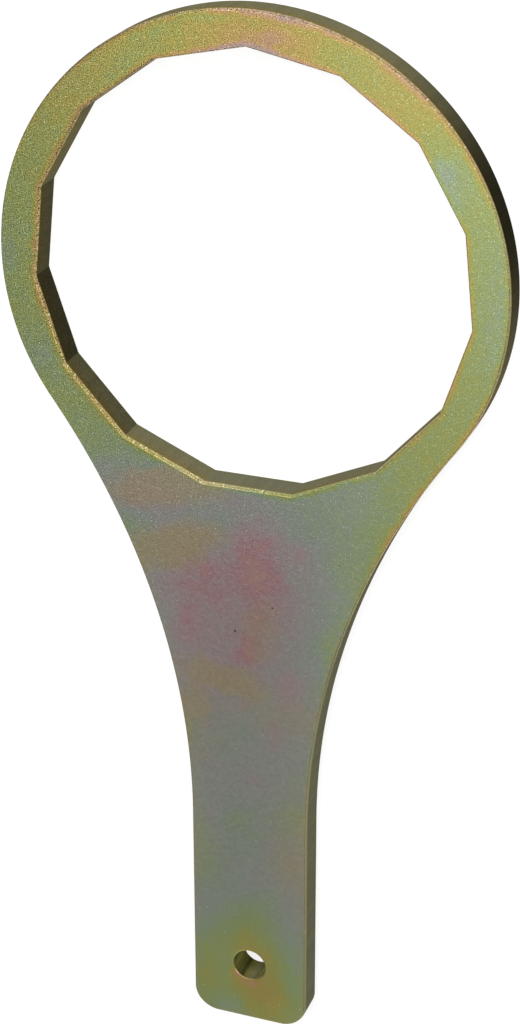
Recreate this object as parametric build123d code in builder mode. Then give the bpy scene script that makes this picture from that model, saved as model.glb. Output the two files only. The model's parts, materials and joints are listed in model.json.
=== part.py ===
from build123d import *
from math import atan2, degrees, sqrt
import os

# Sizes in millimetres

# The opening that grips the cap is a regular polygon, measured across the circle through its corners
flat_count = 15
opening_corner_circle = 101.6
opening_corner_radius = 0.8

# The plate, and the ring's wall where it is thinnest, at the opening's corners
plate_thickness = 7.94
ring_wall = 7.94

# The straight handle, measured from the opening's axis, and the arc that flares it into the ring
handle_reach = 195.3
handle_width = 29.3
handle_end_radius = 6.35
flare_radius = 177.8

# The hole that the wrench hangs by, with its axis measured in from the handle's end
hang_hole_diameter = 8.3
hang_hole_inset = 15.9

# How far blasting has rounded the plate's cut edges, and how little it reached the small hole's rim
edge_rounding = 0.7
hole_rim_rounding = 0.3

# The flare's arc touches the ring's rim on one side and the handle's straight edge on the other
opening_radius = opening_corner_circle / 2
rim_radius = opening_radius + ring_wall
half_width = handle_width / 2
flare_x = half_width + flare_radius
flare_y = -sqrt((rim_radius + flare_radius) ** 2 - flare_x**2)
flare_angle = degrees(atan2(-flare_y, flare_x))

# One flat plate, lying on z = 0 with the opening's axis on Z and the handle along -Y
with BuildPart() as wrench_plate:
    with BuildSketch() as outline:
        with BuildLine():
            CenterArc((0, 0), rim_radius, -flare_angle, 180 + 2 * flare_angle)
            flare = CenterArc((flare_x, flare_y), flare_radius, 180 - flare_angle, flare_angle)
            mirror(flare, about=Plane.YZ)
            Polyline(
                (half_width, flare_y),
                (half_width, -handle_reach),
                (-half_width, -handle_reach),
                (-half_width, flare_y),
            )
        make_face()
        fillet(outline.vertices().group_by(Axis.Y)[0], handle_end_radius)
    extrude(amount=plate_thickness)

    # One corner of the opening points straight away from the handle, and a flat faces the handle
    with BuildSketch() as opening:
        RegularPolygon(opening_radius, flat_count, rotation=90)
        fillet(opening.vertices(), opening_corner_radius)
    extrude(amount=plate_thickness, mode=Mode.SUBTRACT)
    fillet(wrench_plate.faces().filter_by(Axis.Z).edges(), edge_rounding)

    with Locations((0, hang_hole_inset - handle_reach, plate_thickness)):
        Hole(hang_hole_diameter / 2)
    hole_rims = wrench_plate.edges(Select.LAST).filter_by(GeomType.CIRCLE)
    fillet(hole_rims, hole_rim_rounding)

wrench_plate.part.label = "wrench_plate"
os.makedirs("parts", exist_ok=True)
export_step(wrench_plate.part, "parts/wrench_plate.step")
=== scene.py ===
"""A flat fuel filter cap wrench in blasted, yellow zinc plated steel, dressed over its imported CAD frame."""

import json
import math

import bpy
from mathutils import Matrix, Vector


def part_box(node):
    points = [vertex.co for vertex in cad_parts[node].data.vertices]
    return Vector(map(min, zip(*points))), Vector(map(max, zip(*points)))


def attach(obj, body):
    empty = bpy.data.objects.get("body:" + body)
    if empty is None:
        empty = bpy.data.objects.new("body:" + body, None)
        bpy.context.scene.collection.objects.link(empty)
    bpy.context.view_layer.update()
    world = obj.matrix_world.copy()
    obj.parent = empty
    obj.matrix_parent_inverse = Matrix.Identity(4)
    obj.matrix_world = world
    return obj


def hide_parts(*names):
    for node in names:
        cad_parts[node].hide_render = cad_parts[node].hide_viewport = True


bl_info = {
    "name": "Plated Cap Wrench",
    "version": (1, 0, 0),
    "blender": (4, 5, 0),
    "location": "View3D > Sidebar > Cap Wrench",
    "description": "Builds the wrench's plate, its zinc plating and the studio that it lies in",
    "category": "Add Mesh",
}

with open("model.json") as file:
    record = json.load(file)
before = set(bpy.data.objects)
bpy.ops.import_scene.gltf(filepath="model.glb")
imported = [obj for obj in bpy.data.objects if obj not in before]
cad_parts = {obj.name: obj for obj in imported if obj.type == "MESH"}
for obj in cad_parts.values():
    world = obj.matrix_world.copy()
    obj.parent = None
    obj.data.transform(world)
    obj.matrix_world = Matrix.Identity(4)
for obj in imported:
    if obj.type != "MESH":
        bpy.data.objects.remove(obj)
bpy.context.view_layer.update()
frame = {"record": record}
plate_low, plate_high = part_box("wrench_plate")
mounts = {mount["name"]: mount for mount in frame["record"]["mounts"]}
hole_mount = mounts["hang_hole"]
MM = 0.001


class Value:
    """One socket of a node tree, so that node maths reads as an expression."""

    def __init__(self, graph, socket):
        self.graph = graph
        self.socket = socket

    def _is_vector(self, other):
        sockets = [self.socket] + ([other.socket] if isinstance(other, Value) else [])
        return isinstance(other, (tuple, list, Vector)) or any(s.type == "VECTOR" for s in sockets)

    def _math(self, operation, first, second=None):
        other = second if first is self else first
        if self._is_vector(other):
            spread = [v if isinstance(v, (Value, tuple, list, Vector)) else (v, v, v) for v in (first, second)]
            return self.graph.node("ShaderNodeVectorMath", {"operation": operation}, {0: spread[0], 1: spread[1]})
        inputs = {0: first} if second is None else {0: first, 1: second}
        return self.graph.node("ShaderNodeMath", {"operation": operation}, inputs)

    def __add__(self, other):
        return self._math("ADD", self, other)

    def __radd__(self, other):
        return self._math("ADD", other, self)

    def __sub__(self, other):
        return self._math("SUBTRACT", self, other)

    def __rsub__(self, other):
        return self._math("SUBTRACT", other, self)

    def __mul__(self, other):
        return self._math("MULTIPLY", self, other)

    def __rmul__(self, other):
        return self._math("MULTIPLY", other, self)

    def __truediv__(self, other):
        return self._math("DIVIDE", self, other)

    def __rtruediv__(self, other):
        return self._math("DIVIDE", other, self)

    def __pow__(self, other):
        return self._math("POWER", self, other)

    def __neg__(self):
        return self * -1

    def least(self, other):
        return self._math("MINIMUM", self, other)

    def most(self, other):
        return self._math("MAXIMUM", self, other)

    def root(self):
        return self.graph.node("ShaderNodeMath", {"operation": "SQRT"}, {0: self})

    def whole(self):
        return self.graph.node("ShaderNodeMath", {"operation": "ROUND"}, {0: self})

    def size(self):
        return self.graph.node("ShaderNodeMath", {"operation": "ABSOLUTE"}, {0: self})

    def cos(self):
        return self.graph.node("ShaderNodeMath", {"operation": "COSINE"}, {0: self})

    def sin(self):
        return self.graph.node("ShaderNodeMath", {"operation": "SINE"}, {0: self})

    def exp(self):
        return self.graph.node("ShaderNodeMath", {"operation": "EXPONENT"}, {0: self})

    def rise(self, low, high, start=0.0, end=1.0):
        """A smooth step from start to end as this value goes from low to high."""
        settings = {"interpolation_type": "SMOOTHSTEP"}
        return self.graph.node("ShaderNodeMapRange", settings, {0: self, 1: low, 2: high, 3: start, 4: end})

    def length(self):
        return self.graph.node("ShaderNodeVectorMath", {"operation": "LENGTH"}, {0: self}, "Value")

    def parts(self):
        """This vector's x, y and z."""
        node = self.graph.node("ShaderNodeSeparateXYZ", {}, {0: self}).socket.node
        return [Value(self.graph, output) for output in node.outputs]


class Graph:
    """A node tree that is being built."""

    def __init__(self, tree):
        self.tree = tree

    def feed(self, socket, value):
        if isinstance(value, Value):
            self.tree.links.new(value.socket, socket)
        elif isinstance(value, bpy.types.NodeSocket):
            self.tree.links.new(value, socket)
        elif value is not None:
            socket.default_value = value

    def node(self, kind, settings=None, inputs=None, output=0):
        """Adds one node: its settings first, then the values or links of its sockets. Gives one output."""
        node = self.tree.nodes.new(kind)
        for name, value in (settings or {}).items():
            if name == "stops":
                ramp = node.color_ramp.elements
                while len(ramp) < len(value):
                    ramp.new(1.0)
                for element, (place, colour) in zip(ramp, value):
                    element.position = place
                    element.color = (*colour, 1.0)
            else:
                setattr(node, name, value)
        for key, value in (inputs or {}).items():
            if isinstance(value, list) and node.inputs[key].is_multi_input:
                for one in value:
                    self.feed(node.inputs[key], one)
            else:
                self.feed(node.inputs[key], value)
        return Value(self, node.outputs[output]) if len(node.outputs) else None

    def vector(self, x=0.0, y=0.0, z=0.0):
        return self.node("ShaderNodeCombineXYZ", {}, {0: x, 1: y, 2: z})

    def blend(self, factor, first, second, mode="MIX"):
        """Mixes two colours."""
        settings = {"data_type": "RGBA", "blend_type": mode, "clamp_factor": True}
        return self.node("ShaderNodeMix", settings, {0: factor, 6: first, 7: second}, 2)

    def noise(self, place, scale, detail=2.0, roughness=0.5, distortion=0.0, colour=False):
        inputs = {"Vector": place, "Scale": scale, "Detail": detail, "Roughness": roughness, "Distortion": distortion}
        return self.node("ShaderNodeTexNoise", {"noise_dimensions": "3D"}, inputs, "Color" if colour else 0)


class PlateTree(Graph):
    """The geometry nodes that make the plate from its sizes."""

    def __init__(self, name, sizes):
        super().__init__(bpy.data.node_groups.new(name, "GeometryNodeTree"))
        self.sizes = {}
        self.identifiers = {}
        interface = self.tree.interface
        interface.new_socket("Geometry", in_out="INPUT", socket_type="NodeSocketGeometry")
        for label, value in sizes.items():
            kind = "NodeSocketInt" if isinstance(value, int) else "NodeSocketFloat"
            socket = interface.new_socket(label, in_out="INPUT", socket_type=kind)
            socket.default_value = value
            if kind == "NodeSocketFloat":
                socket.subtype = "DISTANCE"
            self.identifiers[label] = socket.identifier
        interface.new_socket("Geometry", in_out="OUTPUT", socket_type="NodeSocketGeometry")
        given = self.node("NodeGroupInput").socket.node
        for label in sizes:
            self.sizes[label] = Value(self, given.outputs[label])

    def store(self, geometry, name, value, kind="FLOAT"):
        settings = {"data_type": kind, "domain": "POINT"}
        return self.node("GeometryNodeStoreNamedAttribute", settings, {"Geometry": geometry, "Name": name, "Value": value})

    def read(self, name, kind="FLOAT"):
        return self.node("GeometryNodeInputNamedAttribute", {"data_type": kind}, {"Name": name})

    def arc(self, order, centre, radius, start, sweep, count, stretch=1.0):
        """The points of one arc, numbered so that the next arcs follow it. A stretch makes its y longer."""
        inputs = {"Resolution": count, "Radius": radius, "Start Angle": start, "Sweep Angle": sweep}
        curve = self.node("GeometryNodeCurveArc", {"mode": "RADIUS"}, inputs)
        place = self.node("GeometryNodeInputPosition") * self.vector(1.0, stretch, 1.0) + centre
        moved = self.node("GeometryNodeSetPosition", {}, {"Geometry": curve, "Position": place})
        share = self.node("GeometryNodeSplineParameter", {}, {}, "Factor")
        ordered = self.store(moved, "order", share + order)
        return self.node("GeometryNodeCurveToPoints", {"mode": "EVALUATED"}, {"Curve": ordered})

    def point(self, order, place):
        points = self.node("GeometryNodePoints", {}, {"Count": 1, "Position": place})
        return self.store(points, "order", order)

    def through(self, pieces, closed):
        """One line through the pieces' points, in their order."""
        joined = self.node("GeometryNodeJoinGeometry", {}, {0: pieces})
        merged = self.node("GeometryNodeMergeByDistance", {}, {"Geometry": joined, "Distance": 0.002 * MM})
        line = self.node("GeometryNodePointsToCurves", {}, {"Points": merged, "Weight": self.read("order")})
        return self.node("GeometryNodeSetSplineCyclic", {}, {"Geometry": line, "Cyclic": closed})

    def evenly(self, curve, spacing):
        """Divides the long runs of a line."""
        here = self.node("GeometryNodeInputPosition")
        after = self.node("GeometryNodeOffsetPointInCurve", {}, {"Offset": 1}, "Point Index")
        settings = {"data_type": "FLOAT_VECTOR", "domain": "POINT"}
        there = self.node("GeometryNodeFieldAtIndex", settings, {"Value": here, "Index": after})
        cuts = ((there - here).length() / spacing).whole().most(1) - 1
        return self.node("GeometryNodeSubdivideCurve", {}, {"Curve": curve, "Cuts": cuts})

    def rail(self, curve, side):
        """Keeps on a line's points their places and the way into the plate, which is side times left of the line."""
        along = self.node("GeometryNodeInputTangent").parts()
        into = self.vector(along[1] * -side, along[0] * side)
        placed = self.store(curve, "rail_place", self.node("GeometryNodeInputPosition"), "FLOAT_VECTOR")
        return self.store(placed, "rail_into", into, "FLOAT_VECTOR")

    def on_rail(self, inset, height):
        into = self.read("rail_into", "FLOAT_VECTOR")
        return self.read("rail_place", "FLOAT_VECTOR") + into * inset + self.vector(0, 0, height)

    def edge_profile(self, rounding, depth, band):
        """The cut edge seen end on: a strip of one face, a rounding, the wall, a deeper rounding and a strip of the other face."""
        thickness, steps = self.sizes["Plate Thickness"], self.sizes["Rounding Steps"] + 1
        quarter = -math.pi / 2
        upper = self.vector(rounding, thickness - depth)
        crisp = rounding + 0.1 * MM
        line = self.through(
            [
                self.point(0, self.vector(rounding + band, 0)),
                self.point(1, self.vector(crisp, 0)),
                self.arc(2, self.vector(rounding, rounding), rounding, quarter, quarter, steps),
                self.arc(4, upper, rounding, 2 * quarter, quarter, steps, depth / rounding),
                self.point(6, self.vector(crisp, thickness)),
                self.point(7, self.vector(rounding + band, thickness)),
            ],
            False,
        )
        divided = self.evenly(line, self.sizes["Wall Step"])
        across, up, _ = self.node("GeometryNodeInputPosition").parts()
        return self.store(self.store(divided, "inset", across), "height", up)

    def edge(self, rail, rounding, depth, band, side):
        """Carries the edge's profile along a line. The cutting beam left upright ripples in the wall."""
        profile = self.edge_profile(rounding, depth, band)
        strip = self.node("GeometryNodeCurveToMesh", {}, {"Curve": rail, "Profile Curve": profile})
        inset, height = self.read("inset"), self.read("height")
        ground = self.read("rail_place", "FLOAT_VECTOR") + self.vector(0, 0, height * 0.12)
        settings = {"noise_dimensions": "4D"}
        inputs = {"Vector": ground, "W": self.sizes["Seed"], "Scale": 1 / self.sizes["Ripple Pitch"], "Detail": 2.0}
        ripple = self.node("ShaderNodeTexNoise", settings, inputs) - 0.5
        on_wall = inset.rise(0.0, 0.02 * MM, 1.0, 0.0)
        place = self.on_rail(inset + ripple * on_wall * self.sizes["Ripple Depth"], height)
        strip = self.node("GeometryNodeSetPosition", {}, {"Geometry": strip, "Position": place})
        return self.node("GeometryNodeFlipFaces", {}, {"Mesh": strip}) if side > 0 else strip

    def build(self, material):
        size = self.sizes
        spacing, band = size["Point Spacing"], size["Band Width"]
        rim, flare = size["Rim Radius"], size["Flare Radius"]
        half, corner = size["Handle Width"] / 2, size["End Radius"]
        reach = size["Handle Reach"]
        flare_x = half + flare
        flare_y = -(((rim + flare) ** 2 - flare_x ** 2).root())
        angle = self.node("ShaderNodeMath", {"operation": "ARCTAN2"}, {0: -flare_y, 1: flare_x})

        def count(radius, sweep):
            return (radius * sweep / spacing).whole().most(4) + 1

        corner_count = count(corner, math.pi / 2)
        flare_count = count(flare, angle)
        outline = self.through(
            [
                self.arc(0, self.vector(half - corner, corner - reach), corner, -math.pi / 2, math.pi / 2, corner_count),
                self.arc(2, self.vector(flare_x, flare_y), flare, math.pi, -angle, flare_count),
                self.arc(3, self.vector(), rim, -angle, angle * 2 + math.pi, count(rim, angle * 2 + math.pi)),
                self.arc(4, self.vector(-flare_x, flare_y), flare, angle, -angle, flare_count),
                self.arc(6, self.vector(corner - half, corner - reach), corner, math.pi, math.pi / 2, corner_count),
            ],
            True,
        )
        outline = self.evenly(outline, spacing)

        inputs = {"Resolution": size["Flats"], "Radius": size["Opening Corner Circle"] / 2}
        polygon = self.node("GeometryNodeCurvePrimitiveCircle", {"mode": "RADIUS"}, inputs)
        turned = self.node("GeometryNodeTransform", {}, {"Geometry": polygon, "Rotation": (0.0, 0.0, math.pi / 2)})
        inputs = {"Curve": turned, "Count": 4, "Radius": size["Opening Corner Radius"]}
        opening = self.evenly(self.node("GeometryNodeFilletCurve", {"mode": "POLY"}, inputs), spacing)

        hole_radius = size["Hole Diameter"] / 2
        inputs = {"Resolution": (hole_radius * 2 * math.pi / spacing).whole(), "Radius": hole_radius}
        hole = self.node("GeometryNodeCurvePrimitiveCircle", {"mode": "RADIUS"}, inputs)
        hole_place = self.vector(0, size["Hole Inset"] - reach)
        hole = self.node("GeometryNodeTransform", {}, {"Geometry": hole, "Translation": hole_place})

        edges, cap_lines = [], []
        rounding, depth, hole_rounding = size["Edge Rounding"], size["Rounding Depth"], size["Hole Rim Rounding"]
        loops = ((outline, rounding, depth, 1), (opening, rounding, depth, -1), (hole, hole_rounding, hole_rounding, -1))
        for curve, rounding, depth, side in loops:
            rail = self.rail(curve, side)
            edges.append(self.edge(rail, rounding, depth, band, side))
            line = {"Geometry": rail, "Position": self.on_rail(rounding + band, 0.0)}
            cap_lines.append(self.node("GeometryNodeSetPosition", {}, line))
        joined = self.node("GeometryNodeJoinGeometry", {}, {0: cap_lines})
        face = self.node("GeometryNodeFillCurve", {"mode": "TRIANGLES"}, {"Curve": joined})
        face = self.store(face, "inset", size["Edge Rounding"] + band)
        lifted = self.vector(0, 0, size["Plate Thickness"])
        upper = self.node("GeometryNodeTransform", {}, {"Geometry": face, "Translation": lifted})
        lower = self.node("GeometryNodeFlipFaces", {}, {"Mesh": face})

        whole = self.node("GeometryNodeJoinGeometry", {}, {0: edges + [upper, lower]})
        whole = self.node("GeometryNodeMergeByDistance", {}, {"Geometry": whole, "Distance": 0.002 * MM})
        for name in ("rail_place", "rail_into", "height", "order"):
            whole = self.node("GeometryNodeRemoveAttribute", {}, {"Geometry": whole, "Name": name})
        whole = self.node("GeometryNodeSetShadeSmooth", {}, {"Geometry": whole, "Shade Smooth": True})
        whole = self.node("GeometryNodeRealizeInstances", {}, {"Geometry": whole})
        whole = self.node("GeometryNodeSetMaterial", {}, {"Geometry": whole, "Material": material})
        self.node("NodeGroupOutput", {}, {0: whole})
        return self.tree


# Where the zinc film is thicker or thinner: millimetres across and along, the stain's half widths, and how much
FILM_STAINS = (
    (-7, 46, 37, 15, 0.60),
    (17, 46, 12, 10, -0.29),
    (-18, 43, 18, 17, -0.52),
    (41, 26, 7, 7, -0.28),
    (-58, -1, 5, 10, -0.16),
    (62, -3, 10, 27, -0.22),
    (-51, -24, 6, 7, -0.16),
    (23, -37, 10, 15, -0.17),
    (-27, -54, 16, 7, -0.34),
    (3, -67, 11, 15, -0.33),
    (-16, -73, 9, 12, -0.27),
    (50, -84, 20, 35, 0.60),
    (0, -92, 4, 5, -0.12),
    (6, -102, 35, 40, -0.55),
    (15, -104, 8, 13, -0.29),
    (25, -105, 21, 22, 0.60),
    (-5, -113, 7, 8, 0.17),
    (12, -134, 5, 4, 0.14),
    (-13, -153, 6, 10, 0.24),
    (-4, -159, 19, 18, -0.53),
    (-2, -174, 11, 33, 0.60),
    (-5, -196, 6, 21, -0.38),
)

# Smaller stains that keep their place, in the same terms
FILM_TOUCHES = (
    (6, 53.5, 5, 1.4, 0.08),
    (-12, 57, 12, 1.5, -0.12),
    (22, 48, 8, 7, -0.04),
    (-1, -58, 18, 5, 0.05),
    (-31, -48, 4, 3, 0.11),
    (-2, -53, 6, 3, -0.08),
    (-27, -62, 6, 2.5, 0.05),
    (-6, -64, 2.5, 6, 0.09),
    (10, -63, 9, 7, 0.08),
    (2, -64, 7, 5, -0.08),
    (-2, -61, 3, 2, -0.06),
    (6, -62, 3, 2, -0.08),
    (13, -64, 2.5, 3, -0.14),
    (-10, -71.5, 3, 2, -0.12),
    (3, -78, 8, 4, 0.08),
    (3, -79, 4, 8, -0.07),
    (-12, -78, 8, 8, 0.06),
    (-8, -78, 5, 4, -0.12),
    (-15, -87, 3, 6, -0.17),
    (1, -91, 3, 4, -0.1),
    (10, -98, 4, 4, -0.1),
    (3, -102, 9, 12, 0.07),
    (7, -112, 2, 3, -0.08),
    (-16, -115, 3, 5, 0.3),
    (1, -126, 3, 3, -0.07),
    (-4, -137, 3, 3, 0.1),
    (-8, -137, 3, 6, -0.08),
    (-12, -140, 2, 6, 0.07),
    (1, -153, 4, 4, -0.06),
    (2, -161, 5, 4, 0.06),
    (-3, -162, 3, 9, -0.04),
    (-13, -164, 7, 9, -0.08),
    (12, -172, 4, 8, -0.03),
    (5, -175, 3, 3, 0.09),
    (-5.5, -180, 3, 4, -0.14),
    (-3.2, -182.3, 1.6, 1.6, 0.3),
    (-10, -185, 3, 4, 0.08),
    (0, -184.8, 3.4, 1.3, 0.14),
    (7, -188, 3, 3, 0.13),
    (-2, -194, 5, 3, -0.1),
    (10, -176, 3, 9, -0.06),
    (1, -190, 6, 3, -0.04),
)

# Ochre drips left by the bath: millimetres across and along, half widths, turn in degrees, and strength
OCHRE_STAINS = (
    (-20, -52, 17, 4, 12, 0.65),
    (-18, -66.5, 13, 5.5, 24, 0.8),
    (-6, -99, 11, 4, -8, 0.7),
    (-14, -106, 3.5, 8, 0, 0.55),
    (3, -85, 4.5, 9, 0, 0.35),
)

# A thin ochre haze: millimetres across and along, half widths, and strength
OCHRE_HAZE = (
    (31, 51, 11, 13, 0.12),
    (-44, 44, 10, 8, 0.15),
    (14, -107, 18, 6, 0.32),
    (-13, -117, 6, 7, 0.26),
    (10, -143, 6, 14, 0.25),
    (10, -149, 4, 5, 0.2),
    (-13, -147, 6, 9, 0.2),
    (14, -142, 5, 20, 0.2),
    (-14, -145, 3, 14, 0.1),
)

# Painted light and shade: where the face is painted lighter or darker as a painted sheen: millimetres across and along,
# half widths, and how much
PAINTED_SHEEN = (
    (-60, 60, 16, 44, -0.18),
    (3, 53, 7, 4, -0.06),
    (-46, -44, 11, 16, 0.1),
    (12, -75, 25, 36, -0.13),
    (46, -95, 32, 44, 0.24),
    (-32, -130, 16, 48, 0.32),
    (-8, -179, 19, 12, 0.05),
    (3, -185, 6, 7, -0.1),
    (23, -85, 6, 22, 0.05),
    (14, -136, 4, 14, 0.04),
    (-13, -144, 5, 14, 0.04),
)

# Painted highlights and shade on the rounded edges: where they are painted brighter or darker than the face, in the
# same terms
PAINTED_EDGE_SHEEN = (
    (-12, -48, 20, 8, 0.3),
    (-32, -38, 12, 10, 0.14),
    (-50, 5, 7, 16, -0.1),
    (-46, 54, 22, 20, -0.7),
    (-6, 58, 9, 6, 0.13),
    (58, -5, 8, 18, -0.2),
    (20, -46, 8, 6, -0.1),
    (2, -50, 8, 4, 0.1),
    (21, -88, 6, 22, -0.12),
)

# Where the rounding shows its full depth: millimetres across and along, half widths, and how much less it loses
DEEP_ROUNDINGS = (
    (-12, -48, 16, 7, -0.04),
    (29, 51, 12, 10, -0.035),
    (-49, 5, 6, 10, -0.02),
)

# Bands in the hanging hole's wall, partly real streaking and partly painted light and shade: direction from the hole's
# axis in degrees, half width, and how much lighter
HOLE_STREAKS_AND_SHADE = (
    (186, 6, 0.1),
    (206, 5, -0.3),
    (221, 6, -0.25),
    (238, 12, -0.75),
    (280, 14, -0.1),
    (304, 9, 0.2),
    (330, 9, -0.3),
    (352, 8, 0.45),
)

# Painted highlight and shade on the hanging hole's upper rim, in the same terms
PAINTED_RIM_GLINTS = (
    (221, 8, 0.35),
    (268, 24, -0.3),
)

# Painted shade on the cut walls, where they are painted darker: millimetres across and along, from how far to how far,
# and the darkest
PAINTED_WALL_SHADE = (
    (55, 20, 4, 48, 0.13),
    (-47, -15, 10, 36, 0.23),
    (-46, 54, 10, 26, 0.55),
)

# Small pits in the upper face, shown only by painted shade: millimetres across and along, and radius
SHADED_PITS = (
    (-3.1, -86.2, 0.35),
    (6.1, -78.6, 0.25),
)

# The film's colours from thin to thick, each with the thickness where it shows
FILM_COLOURS = (
    (0.20, (1.38, 0.91, 0.74)),
    (0.30, (1.28, 0.75, 0.77)),
    (0.40, (1.18, 0.89, 0.89)),
    (0.50, (1.09, 0.96, 0.92)),
    (0.60, (0.99, 1.01, 0.91)),
    (0.70, (0.92, 1.04, 0.84)),
    (0.80, (0.89, 1.07, 0.67)),
    (0.90, (0.90, 1.08, 0.49)),
    (1.00, (0.97, 1.07, 0.38)),
    (1.10, (1.11, 1.04, 0.30)),
    (1.20, (1.27, 0.99, 0.31)),
    (1.30, (1.41, 0.94, 0.38)),
    (1.40, (1.42, 0.90, 0.55)),
    (1.50, (1.26, 0.92, 0.80)),
)
FILM_LIMIT = 1.6


class PlateSizes(bpy.types.PropertyGroup):
    """The plate's sizes."""

    opening_corner_circle: bpy.props.FloatProperty(
        name="Opening Corner Circle",
        description="Width of the opening across the circle through its corners",
        default=101.6 * MM, min=0.05, unit="LENGTH", subtype="DISTANCE",
    )
    flats: bpy.props.IntProperty(
        name="Flats", description="How many flats grip the filter's cap", default=15, min=6, max=24
    )
    opening_corner_radius: bpy.props.FloatProperty(
        name="Opening Corner Radius",
        description="Radius left in the opening's corners by the cutting beam",
        default=0.8 * MM, min=0.1 * MM, unit="LENGTH", subtype="DISTANCE",
    )
    rim_radius: bpy.props.FloatProperty(
        name="Rim Radius", description="Outer radius of the ring",
        default=plate_high.x, min=0.03, unit="LENGTH", subtype="DISTANCE",
    )
    thickness: bpy.props.FloatProperty(
        name="Plate Thickness", description="Thickness of the plate",
        default=plate_high.z, min=MM, unit="LENGTH", subtype="DISTANCE",
    )
    handle_reach: bpy.props.FloatProperty(
        name="Handle Reach", description="From the opening's axis to the handle's end",
        default=-plate_low.y, min=0.1, unit="LENGTH", subtype="DISTANCE",
    )
    handle_width: bpy.props.FloatProperty(
        name="Handle Width", description="Width of the straight handle",
        default=29.3 * MM, min=0.01, unit="LENGTH", subtype="DISTANCE",
    )
    end_radius: bpy.props.FloatProperty(
        name="End Radius", description="Radius of the handle end's two corners",
        default=6.35 * MM, min=MM, unit="LENGTH", subtype="DISTANCE",
    )
    flare_radius: bpy.props.FloatProperty(
        name="Flare Radius", description="Radius of the arcs that flare the handle into the ring",
        default=177.8 * MM, min=0.05, unit="LENGTH", subtype="DISTANCE",
    )
    hole_diameter: bpy.props.FloatProperty(
        name="Hole Diameter", description="Width of the hole that the wrench hangs by",
        default=hole_mount["dims"]["r_mm"] * 2 * MM, min=MM, unit="LENGTH", subtype="DISTANCE",
    )
    hole_inset: bpy.props.FloatProperty(
        name="Hole Inset", description="From the handle's end to the hole's axis",
        default=hole_mount["pos_m"][1] - plate_low.y, min=MM, unit="LENGTH", subtype="DISTANCE",
    )
    edge_rounding: bpy.props.FloatProperty(
        name="Edge Rounding", description="How far into the faces the cut edges are rounded",
        default=0.4 * MM, min=0.1 * MM, unit="LENGTH", subtype="DISTANCE",
    )
    rounding_depth: bpy.props.FloatProperty(
        name="Rounding Depth", description="How far down the walls the upper face's edges are rounded",
        default=1.4 * MM, min=0.1 * MM, unit="LENGTH", subtype="DISTANCE",
    )
    hole_rim_rounding: bpy.props.FloatProperty(
        name="Hole Rim Rounding", description="How far blasting rounded the small hole's rims",
        default=0.3 * MM, min=0.05 * MM, unit="LENGTH", subtype="DISTANCE",
    )
    ripple_pitch: bpy.props.FloatProperty(
        name="Ripple Pitch", description="Spacing of the upright ripples that the cutting beam left in the walls",
        default=1.3 * MM, min=0.5 * MM, unit="LENGTH", subtype="DISTANCE",
    )
    ripple_depth: bpy.props.FloatProperty(
        name="Ripple Depth", description="Depth of the ripples in the walls",
        default=0.01 * MM, min=0.0, unit="LENGTH", subtype="DISTANCE",
    )


class PlatingFinish(bpy.types.PropertyGroup):
    """The zinc plating's look."""

    brightness: bpy.props.FloatProperty(
        name="Brightness", description="How much light the plated face gives back",
        default=0.34, min=0.0, max=1.0, subtype="FACTOR",
    )
    roughness: bpy.props.FloatProperty(
        name="Roughness", description="Roughness of the blasted and plated face",
        default=0.48, min=0.0, max=1.0, subtype="FACTOR",
    )
    grain: bpy.props.FloatProperty(
        name="Grain", description="Strength of the grit blasting's grain",
        default=0.5, min=0.0, max=1.0, subtype="FACTOR",
    )
    # Strength of the painted glints of single crystals
    painted_glint_strength: bpy.props.FloatProperty(
        name="Sparkle", description="How much brighter the single crystals that catch the light are",
        default=1.0, min=0.0, max=3.0,
    )
    ochre: bpy.props.FloatVectorProperty(
        name="Ochre", description="Colour of the ochre drips, as a share of the face's brightness",
        default=(1.20, 0.98, 0.55), min=0.0, max=2.0, size=3,
    )
    worn: bpy.props.FloatVectorProperty(
        name="Worn Edge", description="Colour of the rounded edges, as a share of the face's brightness",
        default=(1.26, 0.97, 0.50), min=0.0, max=2.0, size=3,
    )
    wall: bpy.props.FloatVectorProperty(
        name="Cut Wall", description="Colour of the cut walls near the lower face",
        default=(0.19, 0.19, 0.12), min=0.0, max=1.0, size=3, subtype="COLOR",
    )
    wall_brown: bpy.props.FloatVectorProperty(
        name="Upper Cut Wall", description="Colour of the cut walls near the upper face",
        default=(0.22, 0.165, 0.045), min=0.0, max=1.0, size=3, subtype="COLOR",
    )
    hole_wall: bpy.props.FloatVectorProperty(
        name="Hole Wall", description="Colour of the hanging hole's wall",
        default=(0.17, 0.165, 0.045), min=0.0, max=1.0, size=3, subtype="COLOR",
    )


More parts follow.
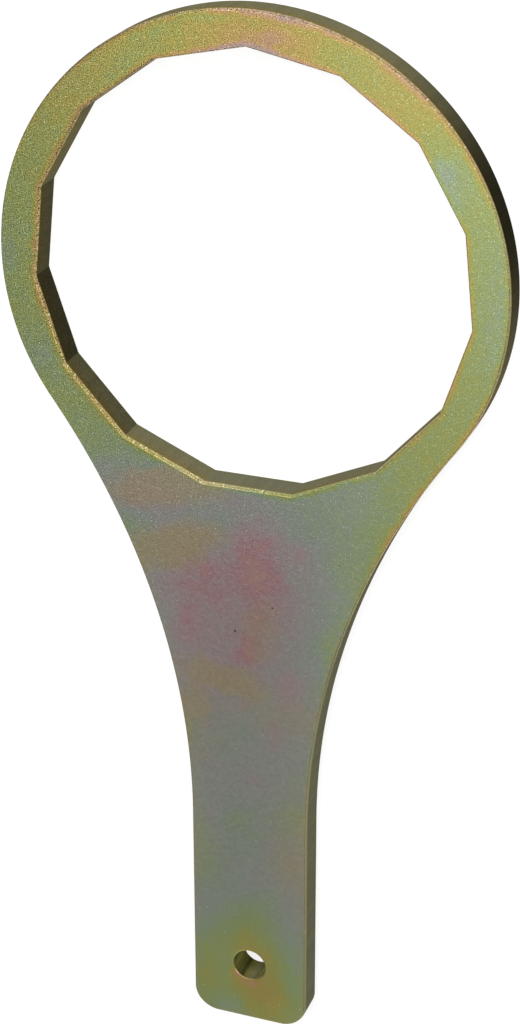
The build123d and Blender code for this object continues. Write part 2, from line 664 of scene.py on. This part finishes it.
class StudioSettings(bpy.types.PropertyGroup):
    """The camera, lamps and floor."""

    target: bpy.props.FloatVectorProperty(
        name="Camera Target", description="The point on the plate's upper face that the camera looks at",
        default=(3.117 * MM, -54.754 * MM, 7.94 * MM), size=3, unit="LENGTH", subtype="TRANSLATION",
    )
    distance: bpy.props.FloatProperty(
        name="Camera Distance", description="From the camera to its target",
        default=535.247 * MM, min=0.1, unit="LENGTH", subtype="DISTANCE",
    )
    azimuth: bpy.props.FloatProperty(
        name="Camera Azimuth", description="The camera's direction round the plate, from +X towards +Y",
        default=math.radians(53.386), unit="ROTATION", subtype="ANGLE",
    )
    elevation: bpy.props.FloatProperty(
        name="Camera Elevation", description="The camera's height over the plate, as an angle",
        default=math.radians(57.999), unit="ROTATION", subtype="ANGLE",
    )
    roll: bpy.props.FloatProperty(
        name="Camera Roll", description="How far the picture's up leans to the right of +Y",
        default=math.radians(0.126), unit="ROTATION", subtype="ANGLE",
    )
    lens: bpy.props.FloatProperty(
        name="Lens", description="Focal length for a 36 mm long side, in millimetres", default=83.554, min=20.0
    )
    floor_colour: bpy.props.FloatVectorProperty(
        name="Floor", description="Colour of the studio floor",
        default=(0.35, 0.35, 0.35), min=0.0, max=1.0, size=3, subtype="COLOR",
    )
    floor_glow: bpy.props.FloatProperty(
        name="Floor Glow", description="What the camera sees of the floor on top of its lamp light",
        default=0.75, min=0.0, max=1.0, subtype="FACTOR",
    )
    sky: bpy.props.FloatProperty(
        name="Sky", description="Strength of the even light from all round", default=0.12, min=0.0, max=1.0
    )


def new_material(name):
    """An emptied material and the graph of its nodes."""
    material = bpy.data.materials.new(name)
    material.use_nodes = True
    material.node_tree.nodes.clear()
    return material, Graph(material.node_tree)


def stain(place, x, y, half_width, half_length, amount):
    """A soft round stain on the plate."""
    graph = place.graph
    away = (place - (x, y, 0)) / (half_width, half_length, 1)
    distance = graph.node("ShaderNodeVectorMath", {"operation": "DOT_PRODUCT"}, {0: away, 1: away}, "Value")
    return (distance * -1).exp() * amount


def stains(place, rows, total=0.0):
    """The sum of some soft round stains."""
    for x, y, half_width, half_length, amount in rows:
        total = stain(place, x, y, half_width, half_length, amount) + total
    return total


def ochre_drips(place):
    """Where ochre drips dried on the plate, from 0 to 1."""
    fx, fy, _ = place.parts()
    drips = None
    for x, y, half_width, half_length, turn, strength in OCHRE_STAINS:
        cos, sin = math.cos(math.radians(turn)), math.sin(math.radians(turn))
        across = ((fx - x) * cos + (fy - y) * sin) / half_width
        along = ((fy - y) * cos - (fx - x) * sin) / half_length
        drip = (across * across + along * along).rise(0.1, 1.8, strength, 0.0)
        drips = drip if drips is None else drips.most(drip)
    return drips


def plated_steel(finish):
    """Blasted steel under a thin film of yellow zinc, with darker cut walls. Painted shade darkens some walls and the
    pits, and painted highlights, glints and shade lie on the face, edges and hole rim.
    """
    material, graph = new_material("Yellow zinc plated steel")
    place = graph.node("ShaderNodeTexCoord", {}, {}, "Object") * (1 / MM)
    x, y, z = place.parts()
    inset = graph.node("ShaderNodeAttribute", {"attribute_type": "GEOMETRY", "attribute_name": "inset"}, {}, "Fac") * (1 / MM)
    upper = z.rise(3.0, 5.0, -1.0, 1.0)
    fixed = graph.vector(x * upper, y, 0)
    speck = graph.noise(place, 3.4, 1.0, 0.7)
    on_wall = (inset / (stains(fixed, DEEP_ROUNDINGS, 0.05) * (speck * 2.4 - 0.2))).rise(0.0, 1.0, 1.0, 0.0)
    ground = graph.vector(x, y, 0)
    from_hole = ground - (0, hole_mount["pos_m"][1] / MM, 0)
    by_hole = from_hole.length().rise(4.8, 5.4, 1.0, 0.0)
    on_rounding = inset.rise(0.25, 0.5, 1.0, 0.0) * (1.0 - by_hole)

    # The film's stains wander, and the two faces don't share them
    wander = graph.noise(place, 0.11, 4.0, 0.6, colour=True)
    drift = graph.node("ShaderNodeVectorMath", {"operation": "SUBTRACT"}, {0: wander, 1: (0.5, 0.5, 0.5)}) * 11.0
    flat = fixed + drift * (1, 1, 0)
    by_edge = inset.rise(0.5, 1.9, 1.0, 0.0) * graph.noise(place, 0.22, 2.0).rise(0.3, 0.6, 0.3, 1.0)
    inner = ground.length().rise(53.0, 54.5, 1.0, 0.0)
    near_edge = by_edge * x.rise(-45, 0, 0.15, 1.0).most(inner) * y.rise(-85, -50, 0.0, 1.0)
    near_edge = near_edge * (1.0 - stain(fixed, 56, 17, 6, 9, 0.8))
    mottle = graph.noise(place, 0.3, 4.0, 0.6) - 0.5
    dapple = graph.noise(place, 1.1, 1.0) - 0.5
    coarse = y.rise(-110, 0, 0.1, 1.0) * x.rise(-60, 60, 2.4, 0.95)
    thickness = stains(fixed, FILM_TOUCHES, stains(flat, FILM_STAINS, y.rise(-57, -10, 0.863, 1.0)))
    thickness = thickness + near_edge * 0.25 + mottle * 0.26 + dapple * coarse.rise(0.1, 0.6, 0.05, 0.14)
    thickness = thickness + on_rounding * ((thickness.most(0.9) - thickness) + 0.04)
    stops = [(at / FILM_LIMIT, colour) for at, colour in FILM_COLOURS]
    film = graph.node("ShaderNodeValToRGB", {"stops": stops}, {0: thickness / FILM_LIMIT})
    ochre = stains(fixed, OCHRE_HAZE, ochre_drips(flat)) + by_edge * y.rise(-85, -50, 0.3, 0.0) * (1.0 - by_hole)
    film = graph.blend(ochre, film, (*finish.ochre, 1.0))
    worn = on_rounding * y.rise(-110, -60, 0.2, 0.45) * (1.0 - stain(fixed, 18, -46, 18, 9, 0.8))
    film = graph.blend(worn, film, (*finish.worn, 1.0))

    # Grit blasting leaves a fine grain, coarser round the ring and stronger towards the ring's left, where the stronger
    # grain partly stands for painted glinting light. Single crystals that catch the light are painted in as brighter,
    # whiter glints
    lump = graph.noise(place, 0.9, 2.0) - 0.5
    grain = ((speck - 0.5) * (on_rounding * 3.0 + 2.6) + lump * 0.3) * coarse * finish.grain
    settings = {"voronoi_dimensions": "2D"}
    crystal = graph.node("ShaderNodeTexVoronoi", settings, {"Vector": place, "Scale": 1.7}).socket.node.outputs
    chosen = Value(graph, crystal["Color"]).parts()[0].rise(0.7, 1.0)
    painted_glint = Value(graph, crystal["Distance"]).rise(0.08, 0.24, 1.0, 0.0) * chosen * y.rise(-125, -50, 0.05, 1.1)
    stray = graph.node("ShaderNodeTexVoronoi", settings, {"Vector": place, "Scale": 0.17}).socket.node.outputs
    chosen = Value(graph, stray["Color"]).parts()[1].rise(0.4, 1.0, 0.0, 0.7)
    painted_glint = painted_glint + Value(graph, stray["Distance"]).rise(0.015, 0.04, 1.0, 0.0) * chosen * y.rise(-100, -70, 1.0, 0.0)
    # Painted glints: the chosen crystals are painted brighter, and whiter in the film
    shade = grain + painted_glint * (on_rounding * 0.6 + x.rise(-60, 0, 1.6, 1.0) * finish.painted_glint_strength) + 1.0
    film = graph.blend(painted_glint * 0.5, film, (1.0, 1.0, 1.0, 1.0))
    # Painted shade darkens the face in each small pit
    for pit_x, pit_y, radius in SHADED_PITS:
        from_pit = (place - (pit_x, pit_y, 7.94)).length()
        shade = shade * from_pit.rise(radius * 0.6, radius * 1.4, 0.35, 1.0)
    # Painted highlights and shade on the roundings. On the ring they are brighter low down and dimmer near the face,
    # and the other way round on the handle. They are dimmer along the handle, with the listed patches on top
    painted_edge_sheen = z.rise(6.8, 7.9, 0.09, -0.14) * y.rise(-110, -60, -1.2, 1.0) + y.rise(-100, -50, -0.43, 0.0)
    shade = shade * (on_rounding * stains(fixed, PAINTED_EDGE_SHEEN, painted_edge_sheen) + 1.0)
    # A painted shadow on the ring's upper left, over the edge's rounding and the face next to it
    shade = shade * (stain(fixed, -34, 47, 16, 16, -0.22) * inset.rise(0.3, 1.3, 1.0, 0.0) + 1.0)
    # Painted light and shade on the face, from the listed patches
    shade = shade * stains(fixed, PAINTED_SHEEN, 1.0)
    hole_x, hole_y, _ = from_hole.parts()
    hole_turn = graph.node("ShaderNodeMath", {"operation": "ARCTAN2"}, {0: -hole_y, 1: -hole_x}) * (180 / math.pi) + 180
    hole_turn = graph.vector(hole_turn)
    # Painted highlight and shade on the hanging hole's upper rim
    glints = stains(hole_turn, [(at, 0, half, 1, more) for at, half, more in PAINTED_RIM_GLINTS])
    shade = shade * (glints * by_hole * inset.rise(0.15, 0.45, 1.0, 0.0) + 1.0)
    face = graph.node("ShaderNodeVectorMath", {"operation": "SCALE"}, {0: film, "Scale": shade * finish.brightness})

    # The cut walls are browner towards the upper face, and the hanging hole's wall is lighter towards the lower face.
    # Each of the opening's flats takes one even painted shade, read at the flat's middle
    turn = graph.node("ShaderNodeMath", {"operation": "ARCTAN2"}, {0: y, 1: x})
    flat_turn = (turn - math.radians(78)) / math.radians(24)
    flat_turn = flat_turn.whole() * math.radians(24) + math.radians(78)
    flat_middle = graph.vector(flat_turn.cos() * 49.7, flat_turn.sin() * 49.7, 0)
    inside = ground.length().rise(53.0, 53.5, 1.0, 0.0)
    spot = ground + (flat_middle - ground) * inside
    # Painted shade: the walls are painted darker near the listed places
    tone = 1.0
    for dark_x, dark_y, near, far, darkest in PAINTED_WALL_SHADE:
        tone = (spot - (dark_x, dark_y, 0)).length().rise(near, far, darkest, 1.0) * tone
    streak = graph.noise(graph.vector(x, y, z * 0.05), 0.5, 3.0, 0.6).rise(0.3, 0.7, -0.5, 0.5)
    # Lighter and darker bands round the hole's wall, partly real streaking and partly painted light and shade
    hole_streaks_and_shade = stains(hole_turn, [(at, 0, half, 1, more) for at, half, more in HOLE_STREAKS_AND_SHADE])
    on_left = stain(spot, -42, -12, 24, 36, 1.0)
    tone = tone * (streak * (by_hole * 0.4 + 0.12) + 1.0) * ((speck - 0.5) * (on_left * 1.6 + 0.6) + 1.0)
    tone = tone * (hole_streaks_and_shade * by_hole + y.rise(-100, -50, 1.08, 1.0)) * (by_hole * z.rise(0.0, 7.5, 1.3, -0.15) + 1.0)
    browned = (z.rise(3.5, 7.0, 0.25, 0.8) + on_left * 0.15) * (y.rise(-90, -50, 0.25, 1.0) - stain(spot, 6, -49, 16, 6, 0.75))
    tint = graph.blend(browned, (*finish.wall, 1.0), (*finish.wall_brown, 1.0))
    tint = graph.blend(by_hole * (1.0 - stain(hole_turn, 283, 0, 25, 1, 0.6)), tint, (*finish.hole_wall, 1.0))
    wall = graph.node("ShaderNodeVectorMath", {"operation": "SCALE"}, {0: tint, "Scale": tone})
    base = graph.blend(on_wall, face, wall)

    roughness = graph.noise(place, 1.1, 2.0).rise(0.2, 0.8, finish.roughness - 0.04, finish.roughness + 0.04)
    height = (speck - 0.5) * coarse * 0.05 + lump * y.rise(-130, -60, 0.01, 0.045)
    bump = graph.node("ShaderNodeBump", {}, {"Strength": 0.6, "Distance": 1.0 * MM, "Height": height})
    shader = graph.node(
        "ShaderNodeBsdfPrincipled",
        {},
        {
            "Base Color": base,
            "Metallic": on_wall * -0.85 + 0.85,
            "Roughness": roughness,
            "Specular IOR Level": 0.0,
            "Normal": bump,
        },
    )
    graph.node("ShaderNodeOutputMaterial", {}, {"Surface": shader})
    return material


def finish_piece(piece):
    """Hangs the piece under the root body and hides the CAD part that it stands in for."""
    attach(piece, "root")
    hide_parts("wrench_plate")


class WRENCH_OT_plate(bpy.types.Operator):
    """Build the plate: ring, fifteen sided opening, flared handle and hanging hole"""

    bl_idname = "wrench.plate"
    bl_label = "Build Plate"

    def execute(self, context):
        size = context.scene.wrench_sizes
        sizes = {
            "Opening Corner Circle": size.opening_corner_circle,
            "Flats": size.flats,
            "Opening Corner Radius": size.opening_corner_radius,
            "Rim Radius": size.rim_radius,
            "Plate Thickness": size.thickness,
            "Handle Reach": size.handle_reach,
            "Handle Width": size.handle_width,
            "End Radius": size.end_radius,
            "Flare Radius": size.flare_radius,
            "Hole Diameter": size.hole_diameter,
            "Hole Inset": size.hole_inset,
            "Edge Rounding": size.edge_rounding,
            "Rounding Depth": size.rounding_depth,
            "Hole Rim Rounding": size.hole_rim_rounding,
            "Ripple Pitch": size.ripple_pitch,
            "Ripple Depth": size.ripple_depth,
            "Rounding Steps": 8,
            "Band Width": 3 * MM,
            "Wall Step": 1.4 * MM,
            "Point Spacing": 0.4 * MM,
            "Seed": 3,
        }
        material = plated_steel(context.scene.wrench_finish)
        plate = PlateTree("Wrench plate", sizes)
        tree = plate.build(material)

        maker = bpy.data.objects.new("plate_maker", bpy.data.meshes.new("plate_maker"))
        context.scene.collection.objects.link(maker)
        nodes = maker.modifiers.new("Plate", "NODES")
        nodes.node_group = tree
        for label, value in sizes.items():
            nodes[plate.identifiers[label]] = value
        graph = context.evaluated_depsgraph_get()
        mesh = bpy.data.meshes.new_from_object(maker.evaluated_get(graph), depsgraph=graph)
        bpy.data.objects.remove(maker)
        if len(mesh.polygons) < 10000:
            raise RuntimeError("the plate's nodes made no plate: check its sizes")
        mesh.name = "plated_plate"
        piece = bpy.data.objects.new("plated_plate", mesh)
        context.scene.collection.objects.link(piece)
        finish_piece(piece)
        return {"FINISHED"}


def camera_frame(studio):
    """The camera's place and turn, from the point that it looks at."""
    around, up = studio.azimuth, studio.elevation
    back = Vector((math.cos(up) * math.cos(around), math.cos(up) * math.sin(around), math.sin(up)))
    place = Vector(studio.target) + back * studio.distance
    top = Vector((0, 1, 0))
    top = (top - back * top.dot(back)).normalized()
    turn = Matrix.Rotation(-studio.roll, 3, back)
    top = turn @ top
    right = top.cross(back)
    matrix = Matrix((right, top, back)).transposed().to_4x4()
    matrix.translation = place
    return matrix


def aim(place, target):
    """A lamp's place and turn, facing its target."""
    back = (Vector(place) - Vector(target)).normalized()
    matrix = back.to_track_quat("Z", "Y").to_matrix().to_4x4()
    matrix.translation = Vector(place)
    return matrix


# Softboxes: name, azimuth and elevation from the ring in degrees, distance, width and height in metres, and watts
LAMPS = (
    ("overhead", 0, 90, 0.60, 0.35, 0.35, 1.45),
    ("right", 0, 35, 0.60, 0.35, 0.30, 1.29),
    ("far", 90, 35, 0.60, 0.35, 0.30, 0.90),
    ("far_left", 135, 35, 0.60, 0.35, 0.30, 1.28),
    ("near", 270, 15, 0.60, 0.35, 0.30, 0.71),
    ("small", 60, 35, 0.28, 0.14, 0.12, 0.20),
)
LAMP_TARGET = Vector((0, -20 * MM, 0))


class WRENCH_OT_studio(bpy.types.Operator):
    """Set up the floor, the soft lamps and the camera"""

    bl_idname = "wrench.studio"
    bl_label = "Set Up Studio"

    def execute(self, context):
        studio = context.scene.wrench_studio
        scene = context.scene

        camera = bpy.data.objects.new("camera", bpy.data.cameras.new("camera"))
        scene.collection.objects.link(camera)
        camera.data.lens = studio.lens
        camera.data.sensor_fit = "AUTO"
        camera.data.sensor_width = 36.0
        camera.data.clip_start = 0.01
        camera.matrix_world = camera_frame(studio)
        scene.camera = camera

        # The floor shows white to the camera and in the metal, and still takes the plate's shadow
        material, graph = new_material("Pale studio floor")
        path = graph.node("ShaderNodeLightPath").socket.node.outputs
        seen = Value(graph, path["Is Camera Ray"]).most(Value(graph, path["Is Glossy Ray"]))
        seen = seen.most(Value(graph, path["Is Transmission Ray"]))
        diffuse = graph.node("ShaderNodeBsdfDiffuse", {}, {"Color": (*studio.floor_colour, 1.0)})
        glow = graph.node("ShaderNodeEmission", {}, {"Color": (1.0, 1.0, 1.0, 1.0), "Strength": seen * studio.floor_glow})
        both = graph.node("ShaderNodeAddShader", {}, {0: diffuse, 1: glow})
        graph.node("ShaderNodeOutputMaterial", {}, {"Surface": both})
        mesh = bpy.data.meshes.new("studio_floor")
        wide, under = 6.0, -0.05 * MM
        corners = [(-wide, -wide, under), (wide, -wide, under), (wide, wide, under), (-wide, wide, under)]
        mesh.from_pydata(corners, [], [(0, 1, 2, 3)])
        mesh.materials.append(material)
        floor = bpy.data.objects.new("studio_floor", mesh)
        scene.collection.objects.link(floor)

        world = bpy.data.worlds.new("Studio")
        world.use_nodes = True
        world.node_tree.nodes.clear()
        graph = Graph(world.node_tree)
        sky = graph.node("ShaderNodeBackground", {}, {"Color": (1.0, 1.0, 1.0, 1.0), "Strength": studio.sky})
        graph.node("ShaderNodeOutputWorld", {}, {"Surface": sky})
        scene.world = world

        for name, azimuth, elevation, distance, width, height, watts in LAMPS:
            around, up = math.radians(azimuth), math.radians(elevation)
            place = Vector((math.cos(up) * math.cos(around), math.cos(up) * math.sin(around), math.sin(up))) * distance
            light = bpy.data.lights.new(name, "AREA")
            light.shape = "RECTANGLE"
            light.size, light.size_y = width, height
            light.energy = watts
            lamp = bpy.data.objects.new(name, light)
            scene.collection.objects.link(lamp)
            lamp.matrix_world = aim(place, LAMP_TARGET)

        scene.view_settings.view_transform = "Standard"
        return {"FINISHED"}


class WRENCH_PT_panel(bpy.types.Panel):
    """The wrench's sizes, finish and studio"""

    bl_idname = "WRENCH_PT_panel"
    bl_label = "Cap Wrench"
    bl_space_type = "VIEW_3D"
    bl_region_type = "UI"
    bl_category = "Cap Wrench"

    def draw(self, context):
        groups = (
            (context.scene.wrench_sizes, WRENCH_OT_plate),
            (context.scene.wrench_finish, None),
            (context.scene.wrench_studio, WRENCH_OT_studio),
        )
        for settings, operator in groups:
            box = self.layout.box()
            for name in settings.__annotations__:
                box.prop(settings, name)
            if operator:
                box.operator(operator.bl_idname)


CLASSES = (PlateSizes, PlatingFinish, StudioSettings, WRENCH_OT_plate, WRENCH_OT_studio, WRENCH_PT_panel)


def register():
    for cls in CLASSES:
        bpy.utils.register_class(cls)
    bpy.types.Scene.wrench_sizes = bpy.props.PointerProperty(type=PlateSizes)
    bpy.types.Scene.wrench_finish = bpy.props.PointerProperty(type=PlatingFinish)
    bpy.types.Scene.wrench_studio = bpy.props.PointerProperty(type=StudioSettings)


def unregister():
    del bpy.types.Scene.wrench_studio
    del bpy.types.Scene.wrench_finish
    del bpy.types.Scene.wrench_sizes
    for cls in reversed(CLASSES):
        bpy.utils.unregister_class(cls)


def main():
    register()
    bpy.ops.wrench.studio()
    bpy.ops.wrench.plate()


if __name__ == "__main__":
    main()
